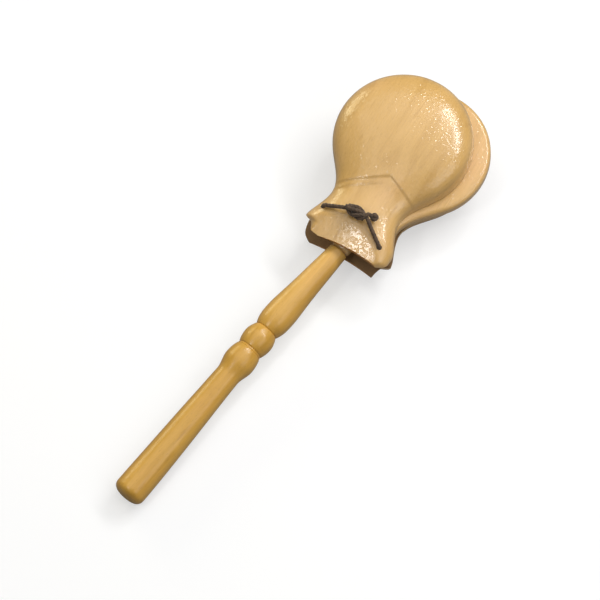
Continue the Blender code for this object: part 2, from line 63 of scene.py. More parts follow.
# Handle: places from the butt, radius, and slope before and after
HANDLE_TO_HOLES = 0.0100
HANDLE_LENGTH = 0.1508
HANDLE_STATIONS = (
    (0.0046, 0.0075, 0, 0),
    (0.0090, 0.0075, 0, -0.016),
    (0.0450, 0.0067, -0.028, -0.028),
    (0.0728, 0.0059, -0.018, 0),
    (0.0812, 0.0075, 0, 0),
    (0.0886, 0.0061, -0.42, 0.45),
    (0.0948, 0.0074, 0, 0),
    (0.1004, 0.0057, -0.48, 0.50),
    (0.1098, 0.0074, 0, 0),
    (0.1225, 0.0065, -0.085, -0.085),
    (0.1340, 0.0057, -0.058, -0.058),
    (0.1502, 0.0047, -0.060, 0),
)
BUTT_ROUNDING, BUTT_RADIUS = HANDLE_STATIONS[0][:2]
BUTT_FULLNESS = 2.7
TOP_EDGE = ((0.0002, 0.0001), (0, 0.0006))
TENON_BORE = (0.0030, 0.0143)
SCORED_RINGS = (0.0878, 0.0889, 0.1004)
RING_DEPTH = 0.00028
RING_HALF_WIDTH = 0.00038

# Bow of the handle to one side: places from the butt, offset and slope
HANDLE_BOW = ((0, 0, 0), (0.0950, 0.00124, 0), (HANDLE_LENGTH, 0, -0.025))

# Board: a pair is a place or length along it and the half width there
BOARD_REACH = 0.0518
BOARD_RADIUS = 0.0313
BOARD_WAIST = (0.0140, 0.0155)
BOARD_EAR = (0.0032, 0.0205)
BOARD_NECK = (0.0052, 0.0046)
BOARD_ROUNDING = 0.0022
BOARD_RIM_ANGLE = math.radians(60)
TENON_RADIUS = 0.0027
TENON_LENGTH = 0.0140

# Shell outline: a place along it, the half width there and, where there is a third number, the flare
SHELL_REACH = 0.0494
SHELL_RADIUS = 0.0327
SIDE_SLOPE = math.radians(33.0)
BOWL_START = SHELL_REACH - SHELL_RADIUS * math.sin(SIDE_SLOPE)
SHELL_WAIST = (0.0138, 0.0174)
SHELL_EAR = (0.0028, 0.0232)
SHELL_EAR_FLARE = 0.42
EAR_BLUNTING = 0.0003
EAR_ROUNDING = 0.0016
SHELL_NOTCH = (0.0052, 0.0188, 0.45)
SHELL_SHOULDER = (0.0072, 0.0229, 0.25)
SHELL_END_AT = 0.0112
SHELL_END_NOTCHED_HALF_WIDTH = 0.0176
SHELL_END_ROUND_HALF_WIDTH = 0.0186
SHELL_END_FLARE = 1.80
SHELL_END_HOLLOW = 0.0019
FRONT_TURN = math.radians(10.6)
REAR_TURN = math.radians(-6.5)

# Shell back: heights along its middle line, the end facet and how square its edges are
SHELL_THICKNESS = 0.0160
NECK_AT = 0.0230
NECK_HEIGHT = 0.0114
NECK_SLOPE = 0.24
RIDGE_HEIGHT = 0.0098
FACET_FOOT = SHELL_END_AT - SHELL_END_HOLLOW
FACET_HEIGHT = 0.0057
FACET_SLOPE = math.tan(math.radians(22.0))
FACET_HOLLOW = 0.0007
FACET_HOLLOW_AT = -0.0100
FACET_EDGE_ROUNDING = 0.0006
BACK_CROWN_SHARE = 0.17
BOWL_EDGE_POWER = 4.2
NECK_EDGE_POWER = 2.8

# The neck is pared down to a gable against the bowl: its apex, its two feet and its two crisp steps
GABLE_APEX = (0.0288, -0.0052)
GABLE_LEFT = (0.0183, 0.0138)
GABLE_RIGHT = (0.0236, -0.0169)
GABLE_STEP = 0.00052
GABLE_STEP_WIDTH = 0.0004
GABLE_SECOND_STEP = 0.00034
GABLE_SECOND_WIDTH = 0.0006
GABLE_SECOND_BELOW = 0.0032
GABLE_FADE = (0.004, 0.020)

# Unevenness of hand work: depths, and scales along and aside
SLOW_RIPPLE = 0.00010
SLOW_RIPPLE_SCALE = 60
FINE_RIPPLE = 0.00003
FINE_RIPPLE_SCALES = (160, 200)
FINE_RIPPLE_SEED = 3.1
CARVING_FADE_HEIGHT = 0.003

# Sound hollow, resting flat, relief behind the hinge line and the faces that show bare wood: the inner faces,
# whose dark tone is partly painted shade, and the end grain
HOLLOW_RADIUS = 0.0225
HOLLOW_DEPTH = 0.0092
HOLLOW_OFFSET = 0.0010
HOLLOW_POWER = 2.6
REST_FLAT_DEPTH = 0.0005
REST_BEFORE_REACH = 0.0050
RELIEF_SLOPE = math.tan(math.radians(20.0))
SEAM_TOLERANCE = 0.000004
INNER_SHADE_FACE_BELOW = -0.45
END_FACE_BELOW = -0.85
END_GRAIN_BEFORE = -0.0082

# Cord and its twist
HOLE_SPACING = 0.0330
CORD_RADIUS = 0.00095
HOLE_RADIUS = CORD_RADIUS + CLEARANCE
STRANDS = 3
TWIST_PITCH = 0.0052
CORD_CORE = 0.86
STRAND_RELIEF = 0.17
FUZZ = 0.04
FUZZ_SCALE = 2600

# Knot and its tail, whose end swells and then closes
KNOT_ALONG = 0.0052
KNOT_ASIDE = 0.0009
KNOT_TURN = math.radians(5.5)
KNOT_TURNS = 4 + 1 / 3
KNOT_START = math.radians(200.0)
KNOT_CLEARANCE = 0.00025
KNOT_PASSES = 5
KNOT_END_ROOM = 0.0002
KNOT_LAY = math.radians(55.0)
KNOT_TAPER = 0.42
TAIL_LENGTH = 0.0040
TAIL_SHARES = ((0.9, 0.34, 0.75), (2.0, 0.50, 0.05), (2.8, 0.55, -0.55))
TAIL_EYE_SHARE = 0.85
TAIL_EYE_RISE = 0.05
TAIL_SWELL = 0.7
SWELL_AT = 0.0013
SWELL_WIDTH = 0.0011
CLOSING_LENGTH = 0.0007
CLOSING_LEAST = 0.15

# Fineness of the meshes
SMOOTH_ANGLE_DEG = 38.0
HANDLE_SMOOTH_ANGLE_DEG = 32.0
CORD_SMOOTH_ANGLE_DEG = 60.0
HANDLE_SIDES = 96
HANDLE_STEPS = 70
GRIP_STEPS = 80
GRIP_SPAN = 0.03
NECK_CURVE_STEPS = 18
SIDE_CURVE_STEPS = 20
BOARD_ARC_STEPS = 60
BOARD_EDGE_SEGMENTS = 8
TENON_SIDES = 48
HOLE_SIDES = 40
STATIONS_ALONG = 150
STATIONS_BEFORE_BOWL = int(STATIONS_ALONG * 0.55)
STATIONS_ACROSS = 110
EDGE_CROWDING = 1.7
HOLLOW_STEPS = 22
HOLLOW_SIDES = 96
SHELL_END_SIDES = 240
CORD_SIDES = 24
CORD_STEP = 0.00020
CORD_FEWEST_STEPS = 12
KNOT_PASS_STEPS = 14
TAIL_EYE_STEPS = 10
LEAD_STEPS = 3
FRONT_CORD_STEPS = 4
REAR_CORD_STEPS = 10

# Wood grain: each noise's scale, along and across the grain but for the cloud, detail, roughness and bend
BANDS = ((9.0, 95.0, 70.0), 5.0, 0.55, 0.6)
STREAKS = ((26.0, 330.0, 260.0), 3.0)
FIBRES = ((60.0, 1500.0, 1500.0), 4.0, 0.6)
PORES = ((420.0, 2600.0, 2600.0), 2.0)
CLOUD = (38.0, 3.0)

# Wood tones: places on each noise and the colour there, which the wood is multiplied by
BLACK = (0, 0, 0)
WHITE = (1.0, 1.0, 1.0)
BAND_PLACES = (0.25, 0.46, 0.72)
FIBRE_TONES = ((0.3, (0.94, 0.93, 0.91)), (0.7, (1.03, 1.03, 1.03)))
STREAK_TONES = ((0.26, (0.84, 0.80, 0.74)), (0.38, WHITE))
CLOUD_TONES = ((0.32, (0.95, 0.94, 0.86)), (0.52, WHITE), (0.70, (1.04, 1.02, 1.10)))
PORE_MASK = ((0.60, BLACK), (0.72, WHITE))
PORE_SHARE = 0.30

# The handle's tone changes from butt to top: browner and darker low on the grip, paler and bluer towards the
# shells
HANDLE_TONES = ((0.33, (0.90, 0.865, 0.66)), (0.57, WHITE), (0.87, (1.02, 1.09, 1.20)))

# Wood surface: grain relief, spread of roughness with the fibres, and the beads in the brushed varnish
FIBRE_RELIEF = 0.5
PORE_RELIEF = -0.6
GRAIN_BUMP = (0.35, 0.0001)
FIBRE_RANGE = (0.25, 0.75)
ROUGHNESS_SPREAD = (-0.05, 0.07)
BEADS = (720.0, 0.0)
BEAD_MASK = ((0.48, BLACK), (0.74, WHITE))
BEAD_HEIGHT = 0.00011
WOOD_IOR = 1.45

# Cord looks: scale and detail of its fibres and patches, and their tones
CORD_FIBRES = (2600.0, 3.0)
CORD_PATCHES = (420.0, 2.0)
CORD_TONES = ((0.30, (0.030, 0.019, 0.011)), (0.60, (0.105, 0.062, 0.032)), (0.80, (0.21, 0.135, 0.078)))
CORD_PATCH_TONES = ((0.3, (0.75, 0.72, 0.70)), (0.7, (1.2, 1.15, 1.1)))
CORD_BUMP = (0.6, 0.0001)

# Floor: white paper to the camera, which glows evenly near the instrument, lightening its shadow, and fully
# far away, and a greyer table to the instrument
PAPER = (0.48, 0.48, 0.48)
TABLE = (0.28, 0.28, 0.28)
NEAR_GLOW = 0.53
FAR_GLOW = 0.47
FAR_RANGE = (0.30, 1.10)
FLOOR_SIZE = 3.0
FLOOR_DROP = 0.00005

# Lamps: name, azimuth and elevation in degrees, distance, width, height, watts and colour
LAMP_AIM = Vector((-0.03, 0, 0.02))
LAMPS = (
    ("high_softbox", 30, 76, 1.3, 1.5, 1.5, 8.2, WHITE),
    ("key_strip", -17, 48, 1.0, 0.70, 0.13, 5.0, WHITE),
    ("end_lamp", 167, 56, 1.0, 0.12, 0.12, 1.05, WHITE),
    ("low_fill", -88, 42, 1.2, 0.80, 0.60, 3.0, WHITE),
    ("sparkle_lamp", 9, 53, 1.0, 0.05, 0.05, 0.6, WHITE),
    ("warm_side", 80, 20, 1.0, 0.50, 0.30, 2.4, (1.0, 0.93, 0.62)),
)
WORLD_LIGHT = 0.09

# Camera
CAMERA_AZIMUTH = math.radians(-47.05)
CAMERA_ELEVATION = math.radians(66.93)
CAMERA_ROLL = math.radians(3.38)
CAMERA_DISTANCE = 1.5
CAMERA_AIM = Vector((-0.07799, -0.00041, -0.00653))
CAMERA_LENS = 194.07
CAMERA_CLIP = (0.05, 20)
SENSOR_WIDTH = 36.0

# Frames of the board between the hinge lines and of the two shells on them, which the cord holes share
BOARD_TURN = Matrix.Rotation(-LEAN, 4, "Y")
FRONT_FRAME = Matrix.Translation(FRONT_HINGE) @ BOARD_TURN
REAR_FRAME = Matrix.Translation(REAR_HINGE) @ BOARD_TURN @ Matrix.Rotation(math.pi, 4, "X")
MIDDLE_FRAME = Matrix.Translation((FRONT_HINGE + REAR_HINGE) / 2) @ BOARD_TURN


def hermite(start, end, t):
    """A point on the cubic between two stations, each a place, a value and a slope there."""
    (x0, y0, m0), (x1, y1, m1) = start, end
    span = x1 - x0
    value = (
        (2 * t**3 - 3 * t**2 + 1) * y0
        + (t**3 - 2 * t**2 + t) * span * m0
        + (3 * t**2 - 2 * t**3) * y1
        + (t**3 - t**2) * span * m1
    )
    return x0 + span * t, value


def value_at(stations, x):
    """The value at a place on the cubics through the stations."""
    for start, end in zip(stations, stations[1:]):
        if x <= end[0]:
            return hermite(start, end, (x - start[0]) / (end[0] - start[0]))[1]
    return stations[-1][1]


def smoothstep(low, high, x):
    t = min(1.0, max(0.0, (x - low) / (high - low)))
    return t * t * (3 - 2 * t)


def soft_min(a, b, width):
    """The lower of two values, rounded where they meet."""
    h = max(width - abs(a - b), 0.0) / width
    return min(a, b) - h * h * width / 4


def shade(mesh, smooth_angle_deg):
    """Smooth shading, except over edges sharper than the angle."""
    mesh.shade_smooth()
    mesh.set_sharp_from_angle(angle=math.radians(smooth_angle_deg))


def finish_mesh(name, bm, place, smooth_angle_deg=SMOOTH_ANGLE_DEG):
    """Makes the object of a bmesh, moved to its place in the world."""
    bmesh.ops.recalc_face_normals(bm, faces=bm.faces)
    mesh = bpy.data.meshes.new(name)
    bm.to_mesh(mesh)
    bm.free()
    mesh.transform(place)
    shade(mesh, smooth_angle_deg)
    thing = bpy.data.objects.new(name, mesh)
    bpy.context.scene.collection.objects.link(thing)
    return thing


def join_rings(bm, rings):
    """Faces from each ring of points to the next. A ring of one point is a pole."""
    for ring, following in zip(rings, rings[1:]):
        count = max(len(ring), len(following))
        for i in range(count):
            j = (i + 1) % count
            if len(ring) == 1:
                bm.faces.new((ring[0], following[i], following[j]))
            elif len(following) == 1:
                bm.faces.new((ring[i], following[0], ring[j]))
            else:
                bm.faces.new((ring[i], following[i], following[j], ring[j]))


def revolve(outline, sides):
    """Spins (along, radius) points about the X axis. Both ends lie on the axis."""
    bm = bmesh.new()
    angles = [2 * math.pi * i / sides for i in range(sides)]
    rings = []
    for along, radius in outline:
        if radius == 0:
            rings.append([bm.verts.new((along, 0, 0))])
        else:
            rings.append([bm.verts.new((along, radius * math.cos(a), radius * math.sin(a))) for a in angles])
    join_rings(bm, rings)
    return bm


def extrude(points, way):
    """A flat face drawn out into a solid."""
    bm = bmesh.new()
    face = bm.faces.new([bm.verts.new(point) for point in points])
    pushed = bmesh.ops.extrude_face_region(bm, geom=[face])
    moved = [item for item in pushed["geom"] if isinstance(item, bmesh.types.BMVert)]
    bmesh.ops.translate(bm, verts=moved, vec=way)
    return bm


def boolean(target, cutter, operation="DIFFERENCE"):
    """Cuts or joins the second piece at once and removes it."""
    modifier = target.modifiers.new("cut", "BOOLEAN")
    modifier.operation = operation
    modifier.solver = "EXACT"
    modifier.object = cutter
    bpy.context.view_layer.update()
    evaluated = target.evaluated_get(bpy.context.evaluated_depsgraph_get())
    mesh = bpy.data.meshes.new_from_object(evaluated)
    target.modifiers.clear()
    target.data = mesh
    bpy.data.objects.remove(cutter)


def prism(outline, half_width, place):
    """A cutter with an outline in X and Z."""
    points = [(x, -half_width, z) for x, z in outline]
    return finish_mesh("cutter", extrude(points, (0, 2 * half_width, 0)), place)


def cylinder(radius, bottom, top, sides, place):
    """An upright round cutter."""
    bm = bmesh.new()
    middle = Matrix.Translation((0, 0, (bottom + top) / 2))
    bmesh.ops.create_cone(
        bm, cap_ends=True, segments=sides, radius1=radius, radius2=radius, depth=top - bottom, matrix=middle
    )
    return finish_mesh("cutter", bm, place)


def drill_cord_holes(thing, bottom, top, frame_of_holes):
    for side in (1, -1):
        place = frame_of_holes @ Matrix.Translation((0, side * HOLE_SPACING / 2, 0))
        boolean(thing, cylinder(HOLE_RADIUS, bottom, top, HOLE_SIDES, place))


# Shell form


def shell_edge(along, side):
    """Distance from the shell's middle line to its edge. Side 1 has the notched ear, side -1 the round
    one."""
    if along >= BOWL_START:
        return math.sqrt(max(0, SHELL_RADIUS**2 - (along - SHELL_REACH) ** 2))
    ear_at, ear_half = SHELL_EAR
    if along >= -ear_at:
        stations = [
            (-ear_at, ear_half, -SHELL_EAR_FLARE),
            (*SHELL_WAIST, 0),
            (BOWL_START, SHELL_RADIUS * math.cos(SIDE_SLOPE), math.tan(SIDE_SLOPE)),
        ]
    elif side > 0:
        at, half, flare = SHELL_NOTCH
        stations = [
            (-SHELL_END_AT, SHELL_END_NOTCHED_HALF_WIDTH, 0),
            (-at, half, flare),
            (-ear_at, ear_half, flare),
        ]
    else:
        at, half, flare = SHELL_SHOULDER
        stations = [
            (-SHELL_END_AT, SHELL_END_ROUND_HALF_WIDTH, SHELL_END_FLARE),
            (-at, half, flare),
            (-ear_at, ear_half, 0),
        ]
    half = value_at(stations, along)
    return soft_min(half, ear_half - EAR_BLUNTING, EAR_ROUNDING) if along < SHELL_WAIST[0] / 2 else half


def crown(edge_share, power):
    """Share of the height that is left at a share of the way to the edge."""
    roll = max(0, 1 - edge_share**power) ** (1 / power)
    return (1 - BACK_CROWN_SHARE * edge_share**2) * roll


def spine_height(along):
    """Height of the shell's back on its middle line."""
    if along >= SHELL_REACH:
        return SHELL_THICKNESS * crown(min(1, (along - SHELL_REACH) / SHELL_RADIUS), BOWL_EDGE_POWER)
    bridge_slope = (NECK_HEIGHT - RIDGE_HEIGHT) / NECK_AT
    if along < 0:
        return RIDGE_HEIGHT + bridge_slope * along
    stations = [
        (0, RIDGE_HEIGHT, bridge_slope),
        (NECK_AT, NECK_HEIGHT, NECK_SLOPE),
        (SHELL_REACH, SHELL_THICKNESS, 0),
    ]
    return value_at(stations, along)


def edge_power(along):
    share = min(1, max(0, along / SHELL_REACH))
    return NECK_EDGE_POWER + (BOWL_EDGE_POWER - NECK_EDGE_POWER) * share


def facet_height(along):
    """Height of the plane that cuts the sloping end facet."""
    return FACET_HEIGHT + (along + FACET_FOOT) * FACET_SLOPE


def gable_at(aside):
    """How far along the neck's pared flat reaches at a place aside."""
    apex_at, apex_aside = GABLE_APEX
    left_at, left_aside = GABLE_LEFT
    right_at, right_aside = GABLE_RIGHT
    left =apex_at + (aside - apex_aside) * (left_at - apex_at) / (left_aside - apex_aside)
    right = apex_at + (aside - apex_aside) * (right_at - apex_at) / (right_aside - apex_aside)
    return min(left, right)


def carving(along, aside):
    """How much the neck's paring takes off the back, in crisp steps that fade towards the ears."""
    inside = gable_at(aside) - along
    fade = 1 - smoothstep(*GABLE_FADE, inside)
    taken = GABLE_STEP * smoothstep(0, GABLE_STEP_WIDTH, inside) * fade
    if aside > GABLE_APEX[1]:
        second = inside - GABLE_SECOND_BELOW
        side_fade = smoothstep(GABLE_APEX[1], 0.0, aside)
        taken += GABLE_SECOND_STEP * smoothstep(0, GABLE_SECOND_WIDTH, second) * fade * side_fade
    return taken


def ripple(along, aside, seed):
    """Slow unevenness of hand work, about a tenth of a millimetre, with a finer one over it."""
    fine_along, fine_aside = FINE_RIPPLE_SCALES
    slow = noise.noise(Vector((along * SLOW_RIPPLE_SCALE + seed, aside * SLOW_RIPPLE_SCALE, seed)))
    fine = noise.noise(Vector((along * fine_along, aside * fine_aside + seed, FINE_RIPPLE_SEED)))
    return SLOW_RIPPLE * slow + FINE_RIPPLE * fine


def back_height(along, aside):
    """Height of the shell's plain back, on which the cord lies."""
    share = min(1, abs(aside) / max(shell_edge(along, aside), 1e-6))
    return min(facet_height(along), spine_height(along) * crown(share, edge_power(along)))


def shell_surface(seed):
    """The back and inner face of a shell as one closed bmesh, before it is hollowed and drilled."""
    bm = bmesh.new()
    straight = STATIONS_BEFORE_BOWL
    places = [-SHELL_END_AT + (BOWL_START + SHELL_END_AT) * i / straight for i in range(straight)]
    arc = STATIONS_ALONG - straight
    for i in range(arc):
        angle = -SIDE_SLOPE + (math.pi / 2 + SIDE_SLOPE) * i / arc
        places.append(SHELL_REACH + SHELL_RADIUS * math.sin(angle))
    rings = []
    for along in places:
        power = edge_power(along)
        ring = []
        for i in range(STATIONS_ACROSS + 1):
            across = 2 * i / STATIONS_ACROSS - 1
            share = 1 - (1 - abs(across)) ** EDGE_CROWDING
            aside = math.copysign(share, across) * shell_edge(along, across)
            height = spine_height(along) * crown(share, power)
            if share < 1:
                edge_fade = smoothstep(0, CARVING_FADE_HEIGHT, height)
                height -= (carving(along, aside) + ripple(along, aside, seed)) * edge_fade
                worn = FACET_HOLLOW * ((aside - FACET_HOLLOW_AT) / SHELL_END_ROUND_HALF_WIDTH) ** 2
                height = soft_min(facet_height(along) - worn, height, FACET_EDGE_ROUNDING)
            ring.append(bm.verts.new((along, aside, max(0.0, height))))
        rings.append(ring)
    tip = bm.verts.new((SHELL_REACH + SHELL_RADIUS, 0, 0))
    join_rings(bm, [*rings, [tip]])
    bm.faces.new(rings[0])
    return bm


def clean_seams(mesh):
    """Joins the doubled points and drops the needle faces that the cuts leave along their seams."""
    bm = bmesh.new()
    bm.from_mesh(mesh)
    bmesh.ops.remove_doubles(bm, verts=bm.verts, dist=SEAM_TOLERANCE)
    bmesh.ops.dissolve_degenerate(bm, edges=bm.edges, dist=SEAM_TOLERANCE)
    bmesh.ops.triangulate(bm, faces=[face for face in bm.faces if len(face.verts) > 4])
    bm.to_mesh(mesh)
    bm.free()


def mark_inner_shade_and_end_grain(mesh, own):
    """Gives the inner faces the shell's second material, dark bare wood that is partly painted shade, and the
    end grain its third.
    """
    back = own.inverted()
    turned = back.to_3x3()
    for face in mesh.polygons:
        normal = turned @ face.normal
        if normal.z < INNER_SHADE_FACE_BELOW:
            # Inner faces get the dark bare wood, which is partly painted shade of the gap between the shells
            face.material_index = 1
        elif normal.x < END_FACE_BELOW and (back @ face.center).x < END_GRAIN_BEFORE:
            face.material_index = 2


def hollow_cutter(place):
    """A squarish dome that stands below the inner face, for the sound hollow."""
    points = []
    for i in range(HOLLOW_STEPS + 1):
        angle = math.pi / 2 * i / HOLLOW_STEPS
        depth, radius = (share ** (2 / HOLLOW_POWER) for share in (math.cos(angle), math.sin(angle)))
        points.append((HOLLOW_DEPTH * depth, HOLLOW_RADIUS * radius))
    points[0] = (HOLLOW_DEPTH, 0)
    points[-1] = (0, HOLLOW_RADIUS)
    points += [(-OVERRUN, HOLLOW_RADIUS), (-OVERRUN, 0)]
    upright = Matrix.Translation((SHELL_REACH + HOLLOW_OFFSET, 0, 0)) @ Matrix.Rotation(-math.pi / 2, 4, "Y")
    return finish_mesh("cutter", revolve(points, HOLLOW_SIDES), place @ upright)


def end_cutter(place):
    """A wide cylinder that leaves the shell's end slightly hollow."""
    radius = (SHELL_END_ROUND_HALF_WIDTH**2 + SHELL_END_HOLLOW**2) / (2 * SHELL_END_HOLLOW)
    centre = Matrix.Translation((-SHELL_END_AT + SHELL_END_HOLLOW - radius, 0, 0))
    return cylinder(radius, -OVERRUN, SHELL_THICKNESS + OVERRUN, SHELL_END_SIDES, place @ centre)


def relief_cutter(hinge_frame):
    """A wedge behind the hinge line, which lets the shell swing open."""
    ear_half = SHELL_EAR[1]
    reach = SHELL_END_AT + ear_half
    high = SHELL_SEAT + reach * RELIEF_SLOPE
    outline = [(0, SHELL_SEAT), (-reach, high), (-reach, -OVERRUN), (0, -OVERRUN)]
    return prism(outline, ear_half + OVERRUN, hinge_frame)


def rest_cutter(turn, hinge_frame):
    """A block that leaves the small flat on which the rear shell rests."""
    rest = SHELL_SEAT + SHELL_THICKNESS - REST_FLAT_DEPTH
    slope = math.tan(LEAN)
    rest_x = (SHELL_REACH - REST_BEFORE_REACH) * math.cos(turn)
    high_x = SHELL_REACH + SHELL_RADIUS
    outline = [
        (0, rest - rest_x * slope),
        (high_x, rest + (high_x - rest_x) * slope),
        (high_x, rest + SHELL_THICKNESS),
        (0, rest + SHELL_THICKNESS),
    ]
    return prism(outline, high_x, hinge_frame)


def build_shell(name, node, body, hinge_frame, turn, seed, woods):
    own = hinge_frame @ Matrix.Translation((0, 0, SHELL_SEAT)) @ Matrix.Rotation(turn, 4, "Z")
    shell = finish_mesh(name, shell_surface(seed), own)
    drill_cord_holes(shell, -OVERRUN, SHELL_THICKNESS, hinge_frame)
    boolean(shell, hollow_cutter(own))
    boolean(shell, end_cutter(own))
    boolean(shell, relief_cutter(hinge_frame))
    if node == "rear_shell":
        boolean(shell, rest_cutter(turn, hinge_frame))
    clean_seams(shell.data)
    shade(shell.data, SMOOTH_ANGLE_DEG)
    for material in woods:
        shell.data.materials.append(material)
    mark_inner_shade_and_end_grain(shell.data, own)
    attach(shell, body)
    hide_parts(node)


# Handle and board


def ring_cut(along):
    """Depth of the fine rings that the turner's point left in the two grooves."""
    depth = 0.0
    for at in SCORED_RINGS:
        depth = max(depth, RING_DEPTH * (1 - abs(along - at) / RING_HALF_WIDTH))
    return depth


def handle_outline():
    """Places from the butt and radii: rounded butt, turned stations, squared top and the tenon's bore."""
    outline = []
    for i in range(HANDLE_STEPS + 1):
        angle = math.pi / 2 * i / HANDLE_STEPS
        back, out = (share ** (2 / BUTT_FULLNESS) for share in (math.cos(angle), math.sin(angle)))
        outline.append((BUTT_ROUNDING * (1 - back), BUTT_RADIUS * out))
    outline[0] = (0, 0)
    for start, end in zip(HANDLE_STATIONS, HANDLE_STATIONS[1:]):
        first = (start[0], start[1], start[3])
        last = (end[0], end[1], end[2])
        steps = GRIP_STEPS if end[0] - start[0] > GRIP_SPAN else HANDLE_STEPS
        outline += [hermite(first, last, (i + 1) / steps) for i in range(steps)]
    outline = [(along, radius - ring_cut(along)) for along, radius in outline]
    top = HANDLE_STATIONS[-1][1]
    outline += [(HANDLE_LENGTH - back, top - inward) for back, inward in TOP_EDGE]
    bore_radius, bore_depth = TENON_BORE
    bottom = HANDLE_LENGTH - bore_depth
    return [*outline, (HANDLE_LENGTH, bore_radius), (bottom, bore_radius), (bottom, 0)]


def build_handle():
    shift = -(HANDLE_TO_HOLES + HANDLE_LENGTH)
    bm = revolve([(shift + along, radius) for along, radius in handle_outline()], HANDLE_SIDES)
    for vertex in bm.verts:
        vertex.co.y += value_at(HANDLE_BOW, vertex.co.x - shift)
    handle = finish_mesh("turned_handle", bm, MIDDLE_FRAME, HANDLE_SMOOTH_ANGLE_DEG)
    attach(handle, "handle_and_board")
    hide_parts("handle")
    return handle


def board_outline():
    """The board's edge from its neck round the head and back, without the tenon."""
    neck_end = -HANDLE_TO_HOLES + CLEARANCE
    neck_length, neck_half = BOARD_NECK
    ear_low, ear_half = BOARD_EAR
    shoulder = neck_end + neck_length
    points = [(neck_end, neck_half)]
    for i in range(NECK_CURVE_STEPS + 1):
        angle = math.pi / 2 * i / NECK_CURVE_STEPS
        along = shoulder + (-ear_low - shoulder) * math.sin(angle)
        points.append((along, neck_half + (ear_half - neck_half) * (1 - math.cos(angle))))
    bowl = (BOARD_REACH - BOARD_RADIUS * math.sin(SIDE_SLOPE), BOARD_RADIUS * math.cos(SIDE_SLOPE))
    stations = ((ear_low, ear_half, 0), (*BOARD_WAIST, 0), (*bowl, math.tan(SIDE_SLOPE)))
    for start, end in zip(stations, stations[1:]):
        points += [hermite(start, end, i / SIDE_CURVE_STEPS) for i in range(SIDE_CURVE_STEPS)]
    for i in range(BOARD_ARC_STEPS + 1):
        angle = -SIDE_SLOPE + (math.pi / 2 + SIDE_SLOPE) * i / BOARD_ARC_STEPS
        points.append((BOARD_REACH + BOARD_RADIUS * math.sin(angle), BOARD_RADIUS * math.cos(angle)))
    return points[:-1] + [(points[-1][0], 0)] + [(x, -y) for x, y in reversed(points[:-1])]


def build_board():
    bm = extrude([(x, y, -HALF_BOARD) for x, y in board_outline()], (0, 0, 2 * HALF_BOARD))
    rim = [e for e in bm.edges if len(e.link_faces) == 2 and e.calc_face_angle() > BOARD_RIM_ANGLE]
    bmesh.ops.recalc_face_normals(bm, faces=bm.faces)
    bmesh.ops.bevel(
        bm, geom=rim, offset=BOARD_ROUNDING, segments=BOARD_EDGE_SEGMENTS, profile=0.5, affect="EDGES"
    )
    board = finish_mesh("clapper_board_fine", bm, MIDDLE_FRAME)
    start = -HANDLE_TO_HOLES - TENON_LENGTH
    root = -HANDLE_TO_HOLES + BOARD_NECK[0]
    tenon = [(start, 0), (start, TENON_RADIUS), (root, TENON_RADIUS), (root, 0)]
    boolean(board, finish_mesh("cutter", revolve(tenon, TENON_SIDES), MIDDLE_FRAME), "UNION")
    drill_cord_holes(board, -2 * HALF_BOARD, 2 * HALF_BOARD, MIDDLE_FRAME)
    shade(board.data, SMOOTH_ANGLE_DEG)
    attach(board, "handle_and_board")
    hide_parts("clapper_board")
    return board


# Cord


def smooth_route(points, steps):
    """A soft curve through the points, with this many steps from each to the next."""
    padded = [2 * points[0] - points[1], *points, 2 * points[-1] - points[-2]]
    route = []
    for a, b, c, d in zip(padded, padded[1:], padded[2:], padded[3:]):
        for i in range(steps):
            t = i / steps
            bend = (2 * b) + (c - a) * t + (2 * a - 5 * b + 4 * c - d) * t**2 + (3 * b - a - 3 * c + d) * t**3
            route.append(bend / 2)
    return route + [points[-1]]


def lies_on_shell(x, y, turn, lift=0.0):
    """Where the cord's middle is when it lies on a shell's back, in the frame of its hinge line."""
    along = x * math.cos(turn) + y * math.sin(turn)
    aside = y * math.cos(turn) - x * math.sin(turn)
    height = SHELL_SEAT + back_height(along, aside) + CLEARANCE + CORD_RADIUS
    return Vector((x, y, height + lift))


def leg_and_bend(side, turn, towards):
    """The cord up through a shell's hole and bent over its mouth towards a place."""
    y = side * HOLE_SPACING / 2
    mouth = lies_on_shell(0, y, turn)
    heading = (Vector(towards) - Vector((0, y))).normalized()
    over = Vector((0, y)) + heading * HOLE_RADIUS
    down = Vector((0, y)) + heading * (3 * HOLE_RADIUS)
    return [
        Vector((0, y, CLEARANCE)),
        Vector((0, y, mouth.z / 2)),
        Vector((0, y, mouth.z - CORD_RADIUS)),
        lies_on_shell(*over, turn, CLEARANCE),
        lies_on_shell(*down, turn, CLEARANCE),
    ]


def even_points(route):
    """Points in equal steps along a route, and the route's length."""
    lengths = [0.0]
    for a, b in zip(route, route[1:]):
        lengths.append(lengths[-1] + (b - a).length)
    count = max(CORD_FEWEST_STEPS, round(lengths[-1] / CORD_STEP))
    points = []
    k = 0
    for i in range(count + 1):
        s = lengths[-1] * i / count
        while k < len(lengths) - 2 and lengths[k + 1] < s:
            k += 1
        t = (s - lengths[k]) / max(lengths[k + 1] - lengths[k], 1e-9)
        points.append(route[k].lerp(route[k + 1], t))
    return points, lengths[-1]


